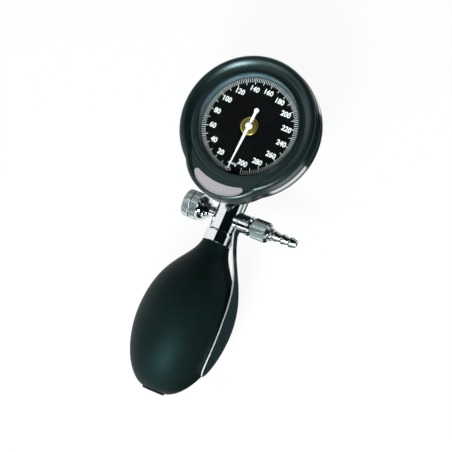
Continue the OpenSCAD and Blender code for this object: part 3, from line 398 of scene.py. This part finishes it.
def rounded(points, radius=0.15, parts=2):
    """The profile with each inner corner cut by a small arc."""
    result = [points[0]]
    for before, here, after in zip(points, points[1:], points[2:]):
        a, b, c = Vector(before), Vector(here), Vector(after)
        cut = min(radius, 0.45 * (a - b).length, 0.45 * (c - b).length)
        start, end = b + (a - b).normalized() * cut, b + (c - b).normalized() * cut
        for i in range(parts + 1):
            t = i / parts
            point = (1 - t) ** 2 * start + 2 * t * (1 - t) * b + t * t * end
            result.append(tuple(point))
    return result + [points[-1]]


def piece(name, bm, material, body, slot, place, *replaced, crisp=35):
    """Turns a bmesh in millimetres into a finished object on a CAD body."""
    bm.transform(place @ Matrix.Scale(MM, 4))
    mesh = bpy.data.meshes.new(name)
    bm.to_mesh(mesh)
    bm.free()
    mesh.materials.append(material)
    for polygon in mesh.polygons:
        polygon.use_smooth = True
    mesh.set_sharp_from_angle(angle=math.radians(crisp))
    made = bpy.data.objects.new(name, mesh)
    bpy.context.scene.collection.objects.link(made)
    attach(made, body)
    if replaced:
        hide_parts(*replaced)
    print(name, len(mesh.polygons), "faces")
    return made


# %% [markdown]
# ## Bulb
# The bulb is one moulding of thick black rubber: a narrow neck inside the collar, a pear
# that is widest below its middle, and a flat lip around the intake valve. Two Bezier curves
# give its outline, one above the widest point and one below. They share their tangent
# there, so no seam shows. The inner wall is drawn the same way, and the closed outline is
# spun.

# %% Bulb
def curve(points, count):
    """Points on a cubic Bezier curve from its four control points."""
    ends = [Vector((*point, 0)) for point in points]
    return [tuple(p[:2]) for p in interpolate_bezier(*ends, count)]


outside = curve([(7.9, 0), (9.3, -12.73), (25.3, -17.2), (25.3, -47.9)], 30)
outside += curve([(25.3, -47.9), (25.3, -63.64), (18.22, -82), (7.6, -86)], 26)[1:]
lip = rounded([(7.6, -86), (6.4, -86.1), (6.4, -87.2), (5.15, -87.2), (5.15, -78)], 0.35, 3)[1:]
inside = curve([(5.15, -78), (16.5, -77.5), (23.1, -62), (23.1, -47.9)], 16)[1:]
inside += curve([(23.1, -47.9), (23.1, -22), (8.6, -16), (4.5, -11)], 16)[1:]
neck = [(4.5, 4.4), (7.25, 4.4), (7.25, 0)]
bulb = bmesh.new()
lathe(bulb, outside + lip + inside + neck, 128, closed=True)
piece("bulb_moulding", bulb, bulb_rubber, "frame", "bulb", BODY @ UP_Y, "bulb", crisp=50)

# %% [markdown]
# ## Spoon
# The spoon is a strip of sprung sheet steel, chromed. Its handle starts under the eyelet at
# the hose port, bows away from the bulb's neck and widens into a leaf that lies along the
# bulb. A flat grid is laid along the centre line: its rows take their place and width from
# the curve, and its columns sag towards the bulb, more in the bowl than in the handle. Then
# the sheet gets its thickness and rounded edges from modifiers. The sheared edge has a matt
# finish of its own, so that it shines evenly.

# %% Spoon's blade and eyelet
SPOON = [Vector((*p, 0)) for p in ((8.1, 8.6), (13.3, -13.33), (35.5, -25.8), (22.4, -69.5))]
ROWS, COLUMNS = 72, 16
SAMPLES = 400  # steps along the centre line
SHEET = 0.9  # thickness of the eyelet
HANDLE_HALF, LEAF_GAIN = 3.6, 6.0  # half width of the handle, and what the leaf adds
LEAF_START, LEAF_SPREAD = 0.3, 0.44  # where it widens, from 0 to 1 along the centre line
TIP_START, TIP_LENGTH = 0.74, 0.26  # where it rounds off
HANDLE_DISH, DISH_GAIN = 86, 60  # radius across the handle, and how much tighter the leaf is


def ease(value):
    value = min(1, max(0, value))
    return value * value * (3 - 2 * value)


centre_line = interpolate_bezier(*SPOON, SAMPLES + 1)
blade = bmesh.new()
bmesh.ops.create_grid(blade, x_segments=COLUMNS, y_segments=ROWS, size=1)
for vert in blade.verts:
    across, row = vert.co.x, (vert.co.y + 1) / 2
    t = 0.35 * math.sin(math.pi / 2 * row) + 0.65 * row
    step = min(SAMPLES - 1, max(1, round(t * SAMPLES)))
    chord = centre_line[step + 1] - centre_line[step]
    middle = centre_line[step] + (t * SAMPLES - step) * chord
    half = HANDLE_HALF + LEAF_GAIN * ease((t - LEAF_START) / LEAF_SPREAD)
    if t > TIP_START:
        half *= math.sqrt(max(0.0, 1 - ((t - TIP_START) / TIP_LENGTH) ** 2))
    z = across * max(half, 0.6)
    dish = HANDLE_DISH - DISH_GAIN * ease((t - 0.1) / 0.4)
    sag = dish - math.sqrt(dish**2 - z * z)
    vert.co = middle + Vector((-sag, 0, z))
bmesh.ops.recalc_face_normals(blade, faces=blade.faces)
spoon = piece("spoon_blade", blade, satin_chrome, "frame", "chrome", BODY, "spoon", crisp=60)
sheet = spoon.modifiers.new("sheet", "SOLIDIFY")
sheet.thickness, sheet.offset = 0.86 * MM, 0
spoon.data.materials.append(cut_edge)
sheet.material_offset_rim = 1
edge = spoon.modifiers.new("edge", "BEVEL")
edge.width, edge.segments, edge.limit_method = 0.25 * MM, 3, "ANGLE"
edge.material = 1

eyelet = bmesh.new()
ring = bmesh.ops.create_circle(eyelet, segments=64, radius=5.5, cap_ends=True)["verts"]
below = [v for v in ring if v.co.y < -0.1 and abs(v.co.x) > 3.3]
for vert in below:  # the lower half runs straight down into the handle
    vert.co = (math.copysign(HANDLE_HALF, vert.co.x), vert.co.y, 0)
for vert in ring:
    if vert.co.y < -4:
        vert.co.y = -7.0
sheet_faces = bmesh.ops.extrude_face_region(eyelet, geom=eyelet.faces[:])["geom"]
raised = [e for e in sheet_faces if isinstance(e, bmesh.types.BMVert)]
bmesh.ops.translate(eyelet, vec=(0, 0, SHEET), verts=raised)
bmesh.ops.recalc_face_normals(eyelet, faces=eyelet.faces)
stand = PORT @ Matrix.Translation((7.65 * MM, 0, 0)) @ Matrix.Rotation(math.radians(90), 4, "Y")
piece("spoon_eyelet", eyelet, satin_chrome, "frame", "chrome", stand, "spoon")

# %% [markdown]
# ## Knurled metal
# The release knob and the lock nut are gripped with wet fingers, so they are knurled. Each
# is turned first, with two columns of faces to a tooth, and then every second column of
# points in the knurled bands is pressed in by about a quarter millimetre.

# %% Release knob, lock nut and barbed connector
def knurl(bm, teeth, crest, depth, bands):
    """Presses in every second column of a lathe's points in the bands of height."""
    for vert in bm.verts:
        radius = math.hypot(vert.co.x, vert.co.y)
        column = round(math.atan2(vert.co.y, vert.co.x) / math.pi * teeth)
        in_band = any(low - 0.01 < vert.co.z < high + 0.01 for low, high in bands)
        if in_band and column % 2 and radius > crest - depth - 0.05:
            vert.co.x, vert.co.y = (c * (radius - depth) / radius for c in vert.co.xy)


def beside(direction, distance):
    """A place on the port's line, in millimetres from the valve body's axis."""
    return PORT @ direction @ Matrix.Translation((0, 0, distance * MM))


KNOB_TEETH, NUT_TEETH = 64, 48
DOME = 5.8  # radius of the knob's shoulder
knob_line = [(2.2, 0), (4.1, 0), (4.55, 0.77)]
knob_line += [
    (1.65 + DOME * math.cos(a), DOME + DOME * math.sin(a)) for a in (-0.8, -0.55, -0.3, -0.1)
]
knob_line += [(7.42, 5.6), (7.42, 5.9), (7.7, 6.15), (7.7, 10.0), (7.4, 10.3), (7.0, 10.3)]
knob_line += [(7.0, 10.7), (7.4, 10.7), (7.7, 11.0), (7.7, 13.9), (7.55, 14.4), (7.1, 14.9)]
knob_line += [(6.4, 15.12), (5.4, 15.2), (0, 15.2)]
knob = bmesh.new()
lathe(knob, knob_line, 2 * KNOB_TEETH)
knurl(knob, KNOB_TEETH, 7.7, 0.28, [(6.15, 10.0), (11.0, 13.9)])
for face in knob.faces:  # the shoulder under the grip is polished
    face.material_index = int(face.calc_center_median().z < 6.0)
place = beside(OUT_LEFT, 10.6)
knob = piece(
    "knurled_knob", knob, knurled, "knob", "satin_chrome", place, "release_knob", crisp=28
)
knob.data.materials.append(chrome)

nut_line = [(3.25, 9.9), (3.6, 10.0), (4.3, 10.0), (5.4, 8.75), (5.7, 8.55), (5.7, 0.45)]
nut_line += [(5.35, 0.1), (4.2, 0)]
nut = bmesh.new()
lathe(nut, nut_line, 2 * NUT_TEETH)
knurl(nut, NUT_TEETH, 5.7, 0.24, [(0.45, 8.55)])
for face in nut.faces:  # and so are the nut's ends
    height = face.calc_center_median().z
    face.material_index = int(height > 8.6 or height < 0.4)
place = beside(OUT_X, 16.25)
nut = piece("knurled_nut", nut, knurled, "nut", "satin_chrome", place, "lock_nut", crisp=28)
nut.data.materials.append(satin_chrome)

BARB_PITCH = 4.7
barb_line = [(1.1, 0), (1.85, 0), (2.05, 4.6), (3.7, 4.6), (3.7, 6.0), (3.2, 6.0), (3.2, 11.4)]
barb_line += [(3.5, 11.4), (3.5, 12.6), (2.1, 12.6)]
for crest in range(3):
    start = 13.4 + BARB_PITCH * crest
    barb_line += [(2.1, start), (2.85, start), (2.85, start + 1.0), (2.1, start + 3.9)]
barb_line += [(2.1, 26.7), (1.1, 26.7)]
barb = bmesh.new()
lathe(barb, rounded(barb_line, 0.22, 3), 64)
place = beside(OUT_X, 15.65)
piece("turned_barb", barb, satin_chrome, "hose_connector", "satin_chrome", place, "hose_barb")

# %% [markdown]
# ## Dial
# The dial is printed in white on matte black: numbers every twenty, a tick every two
# millimetres of mercury and a long one every ten. Zero is straight down and 300 lies 343
# degrees round, clockwise. The numbers stand upright in the head's own frame. Each is a
# text curve, turned into a mesh before it is placed, a hair above the plate.

# %% Numbers, ticks and the mark at zero
STEP = math.radians(343 / 300)  # angle for one millimetre of mercury
NUMBER_RING, SCALE_RIM = 20.6, 26.9  # radii of the numbers and of the ticks' outer ends
LONG_TICK, SHORT_TICK = (23.2, 0.26), (24.5, 0.2)  # inner radius and width
MARK_Y = -25.4  # middle of the mark at zero


def on_dial(value, radius):
    """A point of the scale, in millimetres from the dial's centre."""
    angle = value * STEP
    return Vector((-math.sin(angle) * radius, -math.cos(angle) * radius, 0))


def lettering(bm, words, size, centre, width=1.0, weight=0.0):
    """Adds flat text, centred on a point, to a bmesh in millimetres."""
    text = bpy.data.curves.new(words, "FONT")
    text.body, text.size, text.offset = words, size, weight
    text.align_x, text.align_y, text.resolution_u = "CENTER", "CENTER", 4
    source = bpy.data.objects.new(words, text)
    flat = bpy.data.meshes.new_from_object(source)
    flat.transform(Matrix.Translation(centre) @ Matrix.Diagonal((width, 1, 1, 1)))
    bm.from_mesh(flat)
    bpy.data.objects.remove(source)
    bpy.data.curves.remove(text)


def tick(bm, value, inner, outer, width):
    """A short radial line of the scale."""
    half = Matrix.Diagonal((width / 2, (outer - inner) / 2, 1, 1))
    turn = Matrix.Rotation(-value * STEP, 4, "Z")
    middle = Matrix.Translation((0, -(inner + outer) / 2, 0))
    bmesh.ops.create_grid(bm, x_segments=1, y_segments=1, size=1, matrix=turn @ middle @ half)


printing = bmesh.new()
for value in range(20, 301, 20):
    lettering(printing, str(value), 3.95, on_dial(value, NUMBER_RING), 0.95, 0.1)
lettering(printing, "mmHg", 1.9, Vector((0.9, -21.9, 0)), 1.0, 0.03)
for value in range(0, 301, 2):
    start, width = LONG_TICK if value % 10 == 0 else SHORT_TICK
    tick(printing, value, start, SCALE_RIM, width)
# The flat oval within which the pointer has to rest
mark = Matrix.Translation((0, MARK_Y, 0)) @ Matrix.Diagonal((1.7, 0.95, 1, 1))
outer_loop, inner_loop = (
    bmesh.ops.create_circle(printing, segments=32, radius=1, matrix=mark)["verts"]
    for _ in range(2)
)
to_origin = Matrix.Translation((0, -MARK_Y, 0))
bmesh.ops.scale(printing, vec=(0.78, 0.6, 1), space=to_origin, verts=inner_loop)
joined = {e for v in outer_loop + inner_loop for e in v.link_edges}
bmesh.ops.bridge_loops(printing, edges=list(joined))
bmesh.ops.recalc_face_normals(printing, faces=printing.faces)
for face in printing.faces:
    if face.normal.z < 0:
        face.normal_flip()
bmesh.ops.translate(printing, vec=(0, 0, 0.03), verts=printing.verts)
piece("dial_print", printing, white_paint, "frame", "pointer", HEAD)

# %% [markdown]
# ## Pointer and bush
# The pointer is stamped from thin sheet and lacquered white. Its hub is a turned cap that
# hides the arbor's end. The bush under it is turned brass, and its face keeps the rings that
# the tool left.

# %% Pointer and bush
pointer = bmesh.new()
cap = [(0, 51.25), (1.0, 51.22), (1.6, 51.0), (1.9, 50.6), (1.9, 49.95), (0, 49.95)]
lathe(pointer, [(radius, height - DIAL_Z) for radius, height in cap], 48)
for outline in (
    [(-0.85, 0), (-0.22, -25.35), (0.22, -25.35), (0.85, 0)],
    [(-0.65, 0), (0.65, 0), (0.8, 10.2), (-0.8, 10.2)],
):
    corners = [pointer.verts.new((*point, 0.9)) for point in outline]
    strip = bmesh.ops.extrude_face_region(pointer, geom=[pointer.faces.new(corners)])["geom"]
    top = [part for part in strip if isinstance(part, bmesh.types.BMVert)]
    bmesh.ops.translate(pointer, vec=(0, 0, 0.3), verts=top)
dot = Matrix.Translation((0, 9.0, 1.05))
bmesh.ops.create_cone(
    pointer, cap_ends=True, segments=40, radius1=1.35, radius2=1.3, depth=0.34, matrix=dot
)
bmesh.ops.recalc_face_normals(pointer, faces=pointer.faces)
piece("lacquered_pointer", pointer, white_paint, "pointer", "pointer", HEAD, "pointer")

bush_line = [(5.0, 0.02), (5.0, 0.3), (4.85, 0.42), (4.1, 0.42), (4.05, -0.3), (3.6, -0.3)]
bush_line += [(3.55, 0.46), (2.9, 0.46), (2.85, -0.3), (2.4, -0.3), (2.35, 0.4), (1.15, 0.4)]
bush_line += [(1.15, -0.5), (4.6, -0.5), (4.6, 0.02), (5.0, 0.02)]
bush = bmesh.new()
lathe(bush, rounded(bush_line, 0.05, 1), 72)
piece("stepped_bush", bush, brass, "frame", "brass", HEAD, "dial_bush", crisp=20)
